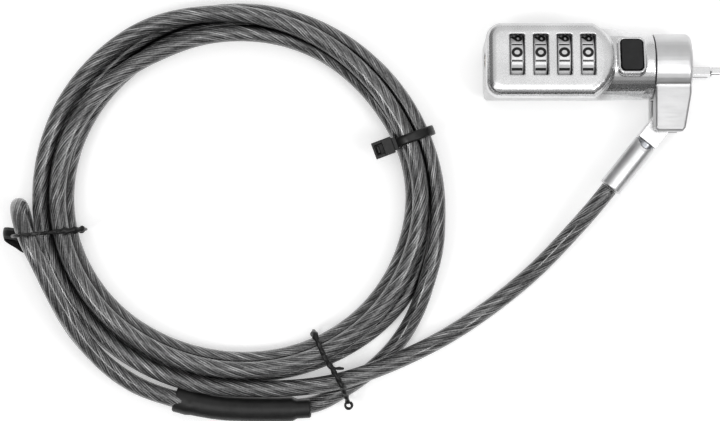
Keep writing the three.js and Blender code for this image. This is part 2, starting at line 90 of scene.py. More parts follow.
def ease(t):
    """Goes smoothly from 0 to 1 while t does, and stays there outside that range."""
    t = min(1.0, max(0.0, t))
    return t * t * (3 - 2 * t)


# ---------------------------------------------------------------- camera
VIEW_CENTRE = Vector((-78.95, -38.49, 0))
CAMERA_HEIGHT = 650
VIEW_WIDTH = 240
SENSOR_WIDTH = 36


def add_camera():
    data = bpy.data.cameras.new("camera")
    data.sensor_width = SENSOR_WIDTH
    data.lens = SENSOR_WIDTH * CAMERA_HEIGHT / VIEW_WIDTH
    data.clip_start = 0.01
    data.clip_end = 10
    camera = bpy.data.objects.new("camera", data)
    camera.location = (VIEW_CENTRE + Vector((0, 0, CAMERA_HEIGHT))) * MM
    scene.collection.objects.link(camera)
    scene.camera = camera


# ---------------------------------------------------------------- mesh helpers
# Faces of a box whose corners are listed with x changing slowest and z fastest.
BOX_FACES = ((0, 1, 3, 2), (4, 6, 7, 5), (0, 4, 5, 1), (2, 3, 7, 6), (0, 2, 6, 4), (1, 5, 7, 3))


def new_object(name, verts, faces, smooth=True):
    mesh = bpy.data.meshes.new(name)
    mesh.from_pydata([tuple(v) for v in verts], [], faces)
    mesh.validate()
    mesh.update()
    obj = bpy.data.objects.new(name, mesh)
    scene.collection.objects.link(obj)
    if smooth:
        mesh.polygons.foreach_set("use_smooth", [True] * len(mesh.polygons))
    return obj


def paint(obj, material):
    obj.data.materials.clear()
    obj.data.materials.append(material)


def cad_object(name):
    """The object of a CAD node in the frame."""
    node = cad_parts[name]
    return bpy.data.objects[node] if isinstance(node, str) else node


SOFTENING = 0.5


def melt(obj, voxel, rounds):
    """Remeshes an object finely, with voxels of this many mm, and softens its edges."""
    remesh = obj.modifiers.new("remesh", "REMESH")
    remesh.mode = "VOXEL"
    remesh.voxel_size = voxel * MM
    remesh.use_smooth_shade = True
    soften = obj.modifiers.new("soften", "SMOOTH")
    soften.factor = SOFTENING
    soften.iterations = rounds
    evaluated = obj.evaluated_get(bpy.context.evaluated_depsgraph_get())
    mesh = bpy.data.meshes.new_from_object(evaluated)
    obj.modifiers.clear()
    old = obj.data
    obj.data = mesh
    bpy.data.meshes.remove(old)


def run_along(line):
    """The distance from the start of a line to each of its points."""
    return np.concatenate([[0], np.cumsum(np.linalg.norm(np.diff(line, axis=0), axis=1))])


def smooth_path(points, step):
    """A Catmull-Rom line through the points, at even steps."""
    pts = [Vector(p) for p in points]
    pts = [pts[0] * 2 - pts[1]] + pts + [pts[-1] * 2 - pts[-2]]
    dense = []
    for a, b, c, d in zip(pts, pts[1:], pts[2:], pts[3:]):
        count = max(4, int((c - b).length / (step * 0.25)))
        for i in range(count):
            t = i / count
            dense.append(0.5 * ((2 * b) + (c - a) * t + (2 * a - 5 * b + 4 * c - d) * t * t
                                + (3 * b - a - 3 * c + d) * t ** 3))
    dense.append(pts[-2])
    return even_steps(dense, step)


def even_steps(dense, step):
    line = np.array([tuple(p) for p in dense])
    run = run_along(line)
    count = max(2, int(round(run[-1] / step)))
    at = np.linspace(0, run[-1], count + 1)
    return np.stack([np.interp(at, run, line[:, k]) for k in range(3)], axis=1)


def relax(line, rounds):
    """Evens out kinks where two stretches of a route meet; the ends stay."""
    line = line.copy()
    for _ in range(rounds):
        line[1:-1] = line[1:-1] * 0.5 + (line[:-2] + line[2:]) * 0.25
    return line


def frames_along(line):
    """Tangents and two side directions that don't twist."""
    tangents = np.gradient(line, axis=0)
    tangents /= np.linalg.norm(tangents, axis=1)[:, None]
    side = np.cross(tangents[0], [0, 0, 1.0])
    side /= np.linalg.norm(side)
    sides = []
    for t in tangents:
        side = side - t * np.dot(side, t)
        side /= np.linalg.norm(side)
        sides.append(side)
    sides = np.array(sides)
    return tangents, sides, np.cross(tangents, sides)


def ring_angles(sides):
    return np.arange(sides) / sides * 2 * math.pi


def tube_faces(rings, sides):
    """The skin of a tube, one ring after another, and then its two ends."""
    faces = []
    for i in range(rings - 1):
        for j in range(sides):
            k = (j + 1) % sides
            faces.append((i * sides + j, i * sides + k, (i + 1) * sides + k, (i + 1) * sides + j))
    faces.append(tuple(range(sides - 1, -1, -1)))
    faces.append(tuple((rings - 1) * sides + j for j in range(sides)))
    return faces


def swept(name, line, radius_at, sides):
    """A tube along a line in mm. radius_at(run, angles) gives the radii of one ring.

    Its UVs are turns round it and metres along it.
    """
    _, side, up = frames_along(line)
    run = run_along(line)
    angles = ring_angles(sides)
    rings = []
    for i, point in enumerate(line):
        r = radius_at(run[i], angles)
        ring = point + np.outer(r * np.cos(angles), side[i]) + np.outer(r * np.sin(angles), up[i])
        rings.append(ring)
    obj = new_object(name, np.concatenate(rings) * MM, tube_faces(len(line), sides))
    layer = obj.data.uv_layers.new(name="UVMap")
    for poly in obj.data.polygons:
        i, j = divmod(poly.index, sides)
        if i >= len(line) - 1:
            continue
        k = (j + 1) % sides
        corners = {i * sides + j: (j, i), i * sides + k: (j + 1, i),
                   (i + 1) * sides + k: (j + 1, i + 1), (i + 1) * sides + j: (j, i + 1)}
        for loop in poly.loop_indices:
            u, v = corners[obj.data.loops[loop].vertex_index]
            layer.data[loop].uv = (u / sides, run[v] * MM)
    return obj


# ---------------------------------------------------------------- the cable's route
FREE_RUN = [(2.6, -31.3, 11.6), (-1, -35.9, 11.4), (-4.6, -40.2, 10.7), (-10.8, -47.3, 8.5),
            (-18.4, -55.8, 5.3), (-25.8, -62.7, 3.4), (-33.9, -69.2, 2.8), (-42.8, -75.5, 3.5),
            (-51, -80.4, 6.1), (-58, -83.9, 8.6), (-65.8, -87.5, 9.6), (-73, -90.5, 9.8),
            (-79.5, -92.7, 9.8), (-89, -95.3, 9.9), (-98.7, -96.6, 10), (-109, -97.1, 10.1),
            (-117, -97, 10.1)]
RETURN_RUN = [(-58.6, -67.5, 7.6), (-60.4, -72.2, 5.9), (-62.4, -76.2, 4.4), (-65, -80.6, 3.2),
              (-68.8, -85.4, 2.9), (-73, -89.6, 2.9), (-78.8, -94.1, 3.4), (-85.4, -98.4, 4.3),
              (-89.8, -101.2, 4.2), (-94.2, -103.2, 3.6), (-106, -104, 3.3), (-117, -103.9, 3.1),
              (-126, -103.4, 3.1), (-134, -102.3, 3.2), (-141.3, -100.8, 3.2), (-151.6, -97.2, 2.8),
              (-162.2, -90.4, 2.8), (-171.7, -81, 2.8), (-178.9, -69.9, 2.8), (-184.6, -57.4, 3.3),
              (-188.6, -47.4, 4.3), (-189.9, -41.6, 5.8), (-190.2, -37.7, 9.7), (-190.1, -36.2, 15),
              (-189.4, -37.7, 20.4), (-188.1, -41.6, 24.3), (-185.9, -47.4, 25.8), (-181.4, -56.3, 25),
              (-176.6, -67.4, 22), (-169.4, -79.6, 17.8), (-161.6, -89, 14.4), (-152, -96.2, 11.2),
              (-141.3, -100.1, 9), (-134, -102, 8.8), (-126, -103.3, 8.8), (-117, -104, 8.8),
              (-108, -104.1, 8.8), (-101, -104, 8.8)]

# Half the bundle's width and how far its middle lies outside the oval, in mm, against the angle in degrees.
BUNDLE_HALF = [(0, 6.8), (18, 6.35), (30, 6.5), (45, 6.35), (60, 6.2), (75, 6.4), (90, 6.75), (105, 7.0),
               (120, 7.4), (135, 7.5), (150, 7.4), (165, 7.15), (180, 7.1), (210, 7.2), (240, 7.5),
               (270, 7.6), (300, 7.3), (330, 7.0), (345, 7.1), (360, 6.8)]
BUNDLE_SHIFT = [(0, -0.1), (18, -0.9), (30, -1.5), (45, -1.5), (60, -1.0), (75, -0.5), (90, -0.1),
                (105, 0.15), (135, 0.25), (150, 0.5), (165, 0.5), (180, 0.6), (195, 0.6), (210, 0.3),
                (225, 0.1), (240, -0.3), (255, -0.4), (270, -0.1), (285, 0.2), (300, 0.35), (315, 0.3),
                (330, 0.0), (360, -0.1)]


def strand_angle(progress):
    """Where the strand lies round the bundle: it moves a quarter turn on in each lap, over the far half."""
    laps = math.floor(progress)
    return math.radians(STRAND_START_DEG + 90 * (laps + ease((progress - laps - 0.25) / 0.5)))


def coil_point(degrees):
    """A point of the coil; the angle falls from the start, so the laps run clockwise from above."""
    a = math.radians(degrees)
    centre = Vector((COIL_R[0] * math.cos(a), COIL_R[1] * math.sin(a), 0))
    out = Vector((COIL_R[1] * math.cos(a), COIL_R[0] * math.sin(a), 0)).normalized()
    turn = strand_angle((LAP_START_DEG - degrees) / 360)
    half = float(np.interp(degrees % 360, *zip(*BUNDLE_HALF)))
    shift = float(np.interp(degrees % 360, *zip(*BUNDLE_SHIFT)))
    spread = (half - CABLE_D / 2) / max(abs(math.cos(turn)), abs(math.sin(turn)))
    leaving = max(0.0, -360 * COIL_TURNS - degrees) / LEAVE_DEG
    filling = math.exp(-((degrees - FILL_DEG) / FILL_WIDE_DEG) ** 2)
    slack = SLACK * noise.noise(Vector((degrees / SLACK_WAVE_DEG, 3.3, 0)))
    under = 1 - UNDER_TUCK * min(0.0, math.sin(turn)) ** 2
    out_by = shift + spread * math.cos(turn) * under + LEAVE_OUT * leaving ** 2 + FILL_OUT * filling + slack
    return COIL_CENTRE + centre + out * out_by + Vector((0, 0, RISE * math.sin(turn)))


def cable_line():
    coil = [coil_point(d) for d in range(COIL_START_DEG, COIL_END_DEG - 1, -COIL_STEP_DEG)]
    return relax(smooth_path(FREE_RUN + coil + RETURN_RUN, CABLE_STEP), RELAX_ROUNDS)


def cable_radius(run, angles):
    """The sleeve shows a trace of the strands that it is drawn over."""
    phase = STRANDS * (angles - 2 * math.pi * run / LAY_LENGTH)
    return CABLE_D / 2 - STRAND_RELIEF + STRAND_RELIEF * np.abs(np.cos(phase / 2))


def crevice_shading(line, sides):
    """How closely another turn of the cable hugs each point of the skin, 1 where they touch; the cable's
    material paints shade by it.
    """
    _, side, up = frames_along(line)
    run = run_along(line)
    angles = ring_angles(sides)
    depth = np.zeros((len(line), sides))
    near = 2 * CABLE_D
    for i, point in enumerate(line):
        close = (np.abs(line - point).max(axis=1) < near) & (np.abs(run - run[i]) > NEXT_TURN_AFTER)
        if close.any():
            skin = point + CABLE_D / 2 * (np.outer(np.cos(angles), side[i]) + np.outer(np.sin(angles), up[i]))
            gap = np.linalg.norm(skin[:, None] - line[close][None], axis=2).min(axis=1) - CABLE_D / 2
            depth[i] = np.exp(-np.clip(gap, 0, None) / CREVICE_SHADE_REACH)
    return depth.ravel()


def add_cable():
    line = cable_line()
    cable = swept("cable", line, cable_radius, CABLE_SIDES)
    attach(cable, "cable")
    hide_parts("cable_run", "cable_return", "cable_loop", "cable_coil")
    # The painted shade between the turns, which the cable's material reads.
    depth = cable.data.attributes.new("crevice_shade", "FLOAT", "POINT")
    depth.data.foreach_set("value", crevice_shading(line, CABLE_SIDES).astype(np.float32))
    return cable, line


add_camera()
cable, CABLE_LINE = add_cable()


# ---------------------------------------------------------------- materials
def set_range(node, from_low, from_high, low, high):
    """Sets both ranges of a Map Range node."""
    for key, value in zip(("From Min", "From Max", "To Min", "To Max"), (from_low, from_high, low, high)):
        node.inputs[key].default_value = value


class Nodes:
    """Short calls for building a node tree."""

    def __init__(self, name):
        self.material = bpy.data.materials.new(name)
        self.material.use_nodes = True
        self.tree = self.material.node_tree
        self.shader = self.tree.nodes["Principled BSDF"]

    def add(self, kind, **values):
        node = self.tree.nodes.new(kind)
        for key, value in values.items():
            if hasattr(node, key):
                setattr(node, key, value)
            else:
                node.inputs[key.replace("_", " ")].default_value = value
        return node

    def link(self, a, out, b, into):
        self.tree.links.new(a.outputs[out], b.inputs[into])

    def set(self, **values):
        for key, value in values.items():
            self.shader.inputs[key.replace("_", " ")].default_value = value

    def maths(self, operation, source, out, by=None):
        """A Math node on one value, with a fixed second value where there is one."""
        node = self.add("ShaderNodeMath", operation=operation)
        if by is not None:
            node.inputs[1].default_value = by
        self.link(source, out, node, 0)
        return node

    def object_noise(self, scale, detail=3.0, stretch=(1, 1, 1)):
        place = self.add("ShaderNodeTexCoord")
        mapping = self.add("ShaderNodeMapping")
        mapping.inputs["Scale"].default_value = stretch
        self.link(place, "Object", mapping, "Vector")
        grain = self.add("ShaderNodeTexNoise", Scale=scale, Detail=detail)
        self.link(mapping, "Vector", grain, "Vector")
        return grain

    def spread(self, source, out, low, high, from_low=0.3, from_high=0.7):
        node = self.add("ShaderNodeMapRange")
        set_range(node, from_low, from_high, low, high)
        self.link(source, out, node, "Value")
        return node

    def ramp(self, source, out, low, high, from_low=0.3, from_high=0.7):
        node = self.add("ShaderNodeValToRGB")
        node.color_ramp.elements[0].position = from_low
        node.color_ramp.elements[0].color = (*low, 1)
        node.color_ramp.elements[1].position = from_high
        node.color_ramp.elements[1].color = (*high, 1)
        self.link(source, out, node, "Fac")
        return node

    def bump(self, source, out, strength, distance):
        node = self.add("ShaderNodeBump", Strength=strength, Distance=distance)
        self.link(source, out, node, "Height")
        self.link(node, "Normal", self.shader, "Normal")

    def surface(self, cloud, low, high, grain, rough):
        """Tones from low to high with one noise, and gloss from another."""
        self.link(self.ramp(cloud, "Fac", low, high), "Color", self.shader, "Base Color")
        self.link(self.spread(grain, "Fac", *rough), "Result", self.shader, "Roughness")


METAL_CLOUDS = 90
METAL_GRAIN_DEPTH = 0.00006
PLASTIC_CLOUDS = 300
PLASTIC_GRAIN_DEPTH = 0.00005
PLASTIC_SPECULAR = 0.3


def metal(name, low, high, rough, grain_scale, bump, stretch=(1, 1, 1), metallic=1.0):
    """Bare or plated metal: small changes of tone and gloss, and a fine grain."""
    n = Nodes(name)
    n.set(Metallic=metallic)
    grain = n.object_noise(grain_scale, 3, stretch)
    n.surface(n.object_noise(METAL_CLOUDS, 4), low, high, grain, rough)
    n.bump(grain, "Fac", bump, METAL_GRAIN_DEPTH)
    return n.material


def plastic(name, low, high, rough, grain_scale, bump):
    """Black plastic or ink, with a fine grain."""
    n = Nodes(name)
    n.set(Specular_IOR_Level=PLASTIC_SPECULAR)
    grain = n.object_noise(grain_scale, 4)
    n.surface(n.object_noise(PLASTIC_CLOUDS, 3), low, high, grain, rough)
    n.bump(grain, "Fac", bump, PLASTIC_GRAIN_DEPTH)
    return n.material


def darkened_in_zones(material, amount, *zones):
    """Darkens the part of a metal that lies inside every zone: axis, where it ends, where it is full."""
    tree = material.node_tree
    shader = tree.nodes["Principled BSDF"]
    colour = shader.inputs["Base Color"].links[0].from_socket
    place = tree.nodes.new("ShaderNodeTexCoord")
    split = tree.nodes.new("ShaderNodeSeparateXYZ")
    tree.links.new(place.outputs["Object"], split.inputs["Vector"])
    inside = None
    for axis, none, full in zones:
        zone = tree.nodes.new("ShaderNodeMapRange")
        set_range(zone, none, full, 0.0, 1.0)
        tree.links.new(split.outputs[axis], zone.inputs["Value"])
        if inside:
            both = tree.nodes.new("ShaderNodeMath")
            both.operation = "MULTIPLY"
            tree.links.new(inside, both.inputs[0])
            tree.links.new(zone.outputs["Result"], both.inputs[1])
            inside = both.outputs["Value"]
        else:
            inside = zone.outputs["Result"]
    shade = tree.nodes.new("ShaderNodeMapRange")
    set_range(shade, 0.0, 1.0, 1.0, 1.0 - amount)
    tree.links.new(inside, shade.inputs["Value"])
    mix = tree.nodes.new("ShaderNodeMixRGB")
    mix.blend_type = "MULTIPLY"
    mix.inputs["Fac"].default_value = 1.0
    tree.links.new(colour, mix.inputs["Color1"])
    tree.links.new(shade.outputs["Result"], mix.inputs["Color2"])
    tree.links.new(mix.outputs["Color"], shader.inputs["Base Color"])
    return material


WIRES = 3  # in each strand, as far as they can be seen
STREAK_STRETCH = (2.2, 110, 1)
# Painted shade in the grooves between strands and painted highlight on their crowns:
GROOVE_SHADE_TONE = (0.004, 0.004, 0.0042)
CROWN_HIGHLIGHT_TONE = (0.60, 0.60, 0.605)
CABLE_BUMP_DEPTH = 0.0003
# Painted shade: the skin is darkened, and loses its coat and gloss, where another turn lies close.
CREVICE_SHADE_RANGE = (0.28, 0.74)  # the crevice values over which the skin goes from clear to dark


def helix(n, split, turns, wobble):
    """A value that rises by one from each of so many helical lines to the next, a little unevenly."""
    across = n.maths("MULTIPLY", split, "X", turns)
    along = n.maths("MULTIPLY_ADD", split, "Y", -turns * 1000 / LAY_LENGTH)
    n.link(across, "Value", along, 2)
    uneven = n.maths("MULTIPLY_ADD", n.object_noise(160, 2), "Fac", wobble)
    n.link(along, "Value", uneven, 2)
    return uneven


def ridges(n, source, power):
    """Round ridges from 0 in the grooves to 1 on the crowns."""
    part = n.maths("FRACT", source, "Value")
    angle = n.maths("MULTIPLY", part, "Value", math.pi)
    wave = n.maths("SINE", angle, "Value")
    return n.maths("POWER", wave, "Value", power)


def highlight_streaks(n, strand_place, split):
    """Long painted highlights that follow the strands."""
    place = n.add("ShaderNodeCombineXYZ")
    n.link(strand_place, "Value", place, "X")
    n.link(split, "Y", place, "Y")
    stretch = n.add("ShaderNodeMapping")
    stretch.inputs["Scale"].default_value = STREAK_STRETCH
    n.link(place, "Vector", stretch, "Vector")
    streak = n.add("ShaderNodeTexNoise", Scale=1.0, Detail=5.0)
    n.link(stretch, "Vector", streak, "Vector")
    return n.spread(streak, "Fac", 0.10, 1.0, 0.46, 0.70)


def cable_material():
    """Steel strands laid in a helix under a clear, slightly smoky glossy sleeve, with painted shade in the
    grooves between strands and painted highlights along the strands' crowns and wires.
    """
    n = Nodes("covered steel cable")
    uv = n.add("ShaderNodeUVMap")
    uv.uv_map = "UVMap"
    split = n.add("ShaderNodeSeparateXYZ")
    n.link(uv, "UV", split, "Vector")
    strand_place = helix(n, split, STRANDS, 0.3)
    # The base colour paints the strands' crowns light and their grooves dark, with painted highlight lines
    # along the wires.
    strand = ridges(n, strand_place, 0.55)
    wire = ridges(n, helix(n, split, STRANDS * WIRES, 1.1), 3.0)
    speck = n.spread(n.object_noise(1500, 3), "Fac", 0.4, 1.3, 0.35, 0.65)
    lines = n.maths("MULTIPLY", wire, "Value")
    n.link(highlight_streaks(n, strand_place, split), "Result", lines, 1)
    body = n.maths("MULTIPLY_ADD", speck, "Result", 0.16)
    n.link(lines, "Value", body, 2)
    painted_strand_light = n.maths("MULTIPLY", strand, "Value")
    n.link(body, "Value", painted_strand_light, 1)
    # Painted shade where another turn of the cable lies close: darker colour, no coat and less gloss there.
    crevice_shade = n.add("ShaderNodeAttribute")
    crevice_shade.attribute_name = "crevice_shade"
    clear = n.spread(crevice_shade, "Fac", 1.0, 0.03, *CREVICE_SHADE_RANGE)
    tone = n.maths("MULTIPLY", painted_strand_light, "Value")
    n.link(clear, "Result", tone, 1)
    n.link(clear, "Result", n.shader, "Coat Weight")
    n.link(n.spread(crevice_shade, "Fac", 0.5, 0.05, *CREVICE_SHADE_RANGE), "Result", n.shader, "Specular IOR Level")
    n.link(n.ramp(tone, "Value", GROOVE_SHADE_TONE, CROWN_HIGHLIGHT_TONE, 0.05, 1.0), "Color", n.shader, "Base Color")
    n.link(n.spread(strand, "Value", 0.55, 0.34, 0, 1), "Result", n.shader, "Roughness")
    n.set(Metallic=0.35, Coat_Roughness=0.15, Coat_IOR=1.55)
    height = n.maths("MULTIPLY_ADD", wire, "Value", 0.5)
    n.link(strand, "Value", height, 2)
    n.bump(height, "Value", 1.0, CABLE_BUMP_DEPTH)
    return n.material


# Each has its darkest and lightest tone, range of roughness, scale of the grain and strength of its bump.
CAST = metal("satin chrome", (0.66, 0.66, 0.665), (0.80, 0.80, 0.805), (0.20, 0.33), 2600, 0.10)
# Paints the housing darker below 19.5 mm high where x is under 0, fading out by x = 3 mm.
darkened_in_zones(CAST, 0.30, ("Z", 0.0215, 0.0195), ("X", 0.0030, 0.0))
BRUSHED = metal("brushed steel", (0.62, 0.62, 0.625), (0.72, 0.72, 0.725), (0.34, 0.46), 1500, 0.14,
                stretch=(0.12, 1, 1))
# Paints the collar darker where y is under 1.2 mm, fading out by y = 1.9 mm.
darkened_in_zones(BRUSHED, 0.28, ("Y", 0.0019, 0.0012))
DIAL_METAL = metal("dial metal", (0.62, 0.62, 0.625), (0.76, 0.76, 0.765), (0.28, 0.40), 2200, 0.12,
                   metallic=0.48)
BRIGHT = metal("bright nickel", (0.80, 0.80, 0.805), (0.92, 0.92, 0.925), (0.14, 0.24), 1600, 0.06)
LINK_METAL = metal("milled nickel", (0.56, 0.56, 0.565), (0.68, 0.68, 0.685), (0.22, 0.34), 1600, 0.10)
FERRULE_METAL = metal("crimped alloy", (0.60, 0.60, 0.605), (0.72, 0.72, 0.725), (0.36, 0.48), 1300, 0.12)
SPRING = metal("spring steel", (0.30, 0.31, 0.33), (0.42, 0.43, 0.45), (0.25, 0.4), 1600, 0.1)
BRASS = metal("brass", (0.60, 0.42, 0.18), (0.76, 0.56, 0.27), (0.22, 0.36), 1600, 0.1)
BUTTON_BLACK = plastic("matte black", (0.012, 0.012, 0.012), (0.020, 0.020, 0.021), (0.5, 0.62), 3500, 0.18)
SLEEVE_BLACK = plastic("shrink tube", (0.010, 0.010, 0.010), (0.018, 0.018, 0.018), (0.34, 0.46), 500, 0.10)
TIE_BLACK = plastic("black nylon", (0.006, 0.006, 0.006), (0.012, 0.012, 0.012), (0.28, 0.42), 900, 0.10)
INK = plastic("number ink", (0.006, 0.006, 0.006), (0.012, 0.012, 0.012), (0.45, 0.6), 3000, 0.10)

paint(cable, cable_material())


# ---------------------------------------------------------------- pieces of the head
def smooth_copy(node, body, material, voxel, rounds):
    """A finely remeshed and softened copy of a CAD node, which it replaces."""
    source = cad_object(node)
    mesh = source.data.copy()
    mesh.materials.clear()
    obj = bpy.data.objects.new(f"{node}_shell", mesh)
    obj.matrix_world = source.matrix_world.copy()
    scene.collection.objects.link(obj)
    melt(obj, voxel, rounds)
    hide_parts(node)
    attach(obj, body)
    paint(obj, material)


def add_metal_shells():
    smooth_copy("housing", "lock_body", CAST, 0.20, 8)
    smooth_copy("swivel_collar", "collar", BRUSHED, 0.18, 5)
    smooth_copy("push_button", "button", BUTTON_BLACK, 0.12, 5)
    smooth_copy("t_bar", "t_bar", BRIGHT, 0.10, 3)
    smooth_copy("nose_guide", "lock_body", BRIGHT, 0.10, 3)
    smooth_copy("pivot_link", "cable", LINK_METAL, 0.12, 4)
    for i in range(1, 5):
        smooth_copy(f"dial_{i}", f"dial_{i}", DIAL_METAL, 0.12, 4)


def arc(cx, cy, rx, ry, start, end, count=10):
    """Points of an oval arc, from one angle in degrees to another."""
    angles = [math.radians(start + (end - start) * i / count) for i in range(count + 1)]
    return [(cx + rx * math.cos(a), cy + ry * math.sin(a)) for a in angles]


# Strokes of the plain numbers 0 to 9 in a box 1 wide and 1 high; each stroke is a list of points.
NUMBERS = [
    [arc(0.5, 0.5, 0.42, 0.5, 0, 360, 24)],
    [[(0.5, 0), (0.5, 1)]],
    [arc(0.5, 0.72, 0.4, 0.28, 165, -20, 12) + [(0.1, 0), (0.92, 0)]],
    [arc(0.48, 0.75, 0.36, 0.25, 150, -90, 12) + arc(0.48, 0.26, 0.4, 0.26, 80, -150, 12)],
    [[(0.95, 0.28), (0.05, 0.28), (0.68, 1), (0.68, 0)]],
    [[(0.85, 1), (0.2, 1), (0.14, 0.55)] + arc(0.48, 0.32, 0.4, 0.32, 125, -145, 14)],
    [[(0.75, 1)] + arc(0.5, 0.32, 0.4, 0.32, 150, -210, 20)],
    [[(0.08, 1), (0.92, 1), (0.4, 0)]],
    [arc(0.5, 0.75, 0.33, 0.25, 0, 360, 18), arc(0.5, 0.26, 0.41, 0.26, 0, 360, 18)],
    [[(0.25, 0)] + arc(0.5, 0.68, 0.4, 0.32, -30, 330, 20)],
]
NUMBER_WIDE = 2.95
NUMBER_HIGH = 2.7
STROKE = 0.94
STROKE_END = 0.4  # of its width, past the last point of an open stroke
INK_LEVELS = (-0.15, 0.035)  # the bottom and top of the ink against the dial's surface
FIRST_NUMBER_TURN = math.radians(4.5)
NUMBER_TURN = math.radians(36)
# The dark lines of painted shade along the dials' ridges:
RIDGE_HALF_WIDE = 0.08
RIDGE_HALF_LONG = 1.75
RIDGE_LEVELS = (-0.3, 0.03)


def number_place(dial, value):
    """Gives the function that puts a point of one number on its dial."""
    x_mid = DIAL_X0 + DIAL_PITCH * dial
    turn = FIRST_NUMBER_TURN - NUMBER_TURN * value

    def place(u, v, level):
        """u across, v up the number and its level, in mm; the number runs round the dial."""
        a = turn - u / DIAL_R
        r = level + min(DIAL_R, FACET_R / math.cos(u / DIAL_R))
        return body_point(x_mid + v, DIAL_AT[0] + r * math.sin(a), DIAL_AT[1] + r * math.cos(a))

    return place


def add_stroke(verts, faces, stroke, place):
    """A band of ink along one stroke of a number, with square ends where it is open."""
    line = [Vector(((x - 0.5) * NUMBER_WIDE, (y - 0.5) * NUMBER_HIGH)) for x, y in stroke]
    closed = (line[0] - line[-1]).length < 1e-6
    start = len(verts)
    for i, p in enumerate(line):
        before = line[i - 1] if i else (line[-2] if closed else p)
        after = line[i + 1] if i + 1 < len(line) else (line[1] if closed else p)
        along = (after - before).normalized()
        across = Vector((-along.y, along.x)) * STROKE / 2
        end = Vector((0, 0))
        if not closed and i in (0, len(line) - 1):
            end = along * (STROKE * STROKE_END) * (-1 if i == 0 else 1)
        for sign in (-1, 1):
            q = p + across * sign + end
            verts += [place(q.x, q.y, level) for level in INK_LEVELS]
    for i in range(len(line) - 1):
        a = start + 4 * i
        b = a + 4
        faces += [(a + 1, a + 3, b + 3, b + 1), (a, b, b + 2, a + 2),
                  (a, a + 1, b + 1, b), (a + 2, b + 2, b + 3, a + 3)]
    if not closed:
        last = start + 4 * (len(line) - 1)
        faces += [(start, start + 2, start + 3, start + 1), (last, last + 1, last + 3, last + 2)]


def add_ridge_shade_line(verts, faces, place):
    """A thin dark line of painted shade along the ridge beside a number."""
    start = len(verts)
    ridge = DIAL_R * NUMBER_TURN / 2
    for side in (-RIDGE_HALF_WIDE, RIDGE_HALF_WIDE):
        for v in (-RIDGE_HALF_LONG, RIDGE_HALF_LONG):
            verts += [place(ridge + side, v, level) for level in RIDGE_LEVELS]
    faces += [tuple(start + i for i in face) for face in BOX_FACES]


def add_numbers(dial):
    """Black filled numbers round one dial, with their tops to the T-bar, and dark lines of painted shade
    along its ridges.
    """
    verts, faces = [], []
    for value, strokes in enumerate(NUMBERS):
        place = number_place(dial, value)
        for stroke in strokes:
            add_stroke(verts, faces, stroke, place)
        # The dark line along each ridge is painted shade, in the same ink.
        add_ridge_shade_line(verts, faces, place)
    numbers = new_object(f"numbers_{dial + 1}", [v * MM for v in verts], faces, smooth=False)
    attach(numbers, f"dial_{dial + 1}")
    paint(numbers, INK)


# The CAD nodes that are seen as they are.
CARRIED = {
    "back_cover": CAST, "pivot_pin": BRIGHT, "loop_crimp": BRIGHT, "spindle_spring": SPRING,
    "detent_leaf_spring": SPRING, "button_spring": SPRING, "retaining_ring": SPRING,
    "locking_spindle": SPRING, "cover_screw_rear": SPRING, "cover_screw_front": SPRING,
    "clutch_ring_1": BRASS, "clutch_ring_2": BRASS, "clutch_ring_3": BRASS, "clutch_ring_4": BRASS,
    "t_bar_pinion": BRASS, "reset_screw": BRASS,
}


def paint_carried_nodes():
    for name, material in CARRIED.items():
        node = cad_object(name)
        for slot in node.material_slots:
            slot.material = material
        if not node.material_slots:
            node.data.materials.append(material)


def end_rounding(from_end, radius):
    """How far a rounded end draws in, at a distance from its end face."""
    left = radius - min(from_end, radius)
    return radius - math.sqrt(max(0, radius ** 2 - left ** 2))


FERRULE_FROM_PIN = 13.1
FERRULE_LONG = 18.7
FERRULE_R = 3.66
FERRULE_SWELL = 0.08  # past SWELL_AT
SWELL_AT = 2.6
NEAR_ROUNDING = 0.3
FAR_ROUNDING = 0.45
FERRULE_STEPS = 150
FERRULE_SIDES = 64
RECESS_LONG = 1.7  # at the top; its edge curves back to the end face at the sides
RECESS_DEEP = 0.55
# The dark ring of painted shade inside the recess:
SHADE_RING_STEPS = 18
SHADE_RING_R = 3.3
SHADE_RING_SIDES = 48
CRIMP_AT = 10.4
CRIMP_CURVE = 2.2
CRIMP_HALF_LONG = 0.3
CRIMP_DEEP = 0.34


def ferrule_radius(run, angles):
    """A round barrel with a curved recess near the link and a crimp mark on top."""
    swell = FERRULE_SWELL / (1 + math.exp(-(run - SWELL_AT) * 6))
    ends = end_rounding(run, NEAR_ROUNDING) + end_rounding(FERRULE_LONG - run, FAR_ROUNDING)
    across = np.cos(angles)
    top = np.clip(np.sin(angles), 0, 1)
    recess = RECESS_DEEP / (1 + np.exp((run - RECESS_LONG * (1 - across ** 2)) * 14))
    crimp_at = CRIMP_AT + CRIMP_CURVE * (across - 0.1) ** 2
    mark = CRIMP_DEEP * np.exp(-((run - crimp_at) / CRIMP_HALF_LONG) ** 2) * top ** 6
    return FERRULE_R + swell - ends - recess - mark


def add_ferrule():
    """The crimped barrel, and a dark ring of painted shade that shows through where the barrel is recessed.
    """
    axis = Vector((math.cos(LINK_TURN), math.sin(LINK_TURN), 0))
    start = PIN + axis * FERRULE_FROM_PIN
    steps = range(FERRULE_STEPS + 1)
    line = np.array([tuple(start + axis * (FERRULE_LONG * i / FERRULE_STEPS)) for i in steps])
    ferrule = swept("ferrule_barrel", line, ferrule_radius, FERRULE_SIDES)
    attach(ferrule, "cable")
    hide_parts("ferrule")
    paint(ferrule, FERRULE_METAL)
    # A dark ring of painted shade, in spring steel's tone, seen through the recess.
    recess = swept("ferrule_recess", line[:SHADE_RING_STEPS + 1],
                   lambda run, angles: np.full(len(angles), SHADE_RING_R), SHADE_RING_SIDES)
    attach(recess, "cable")
    paint(recess, SPRING)
    return [ferrule, recess]


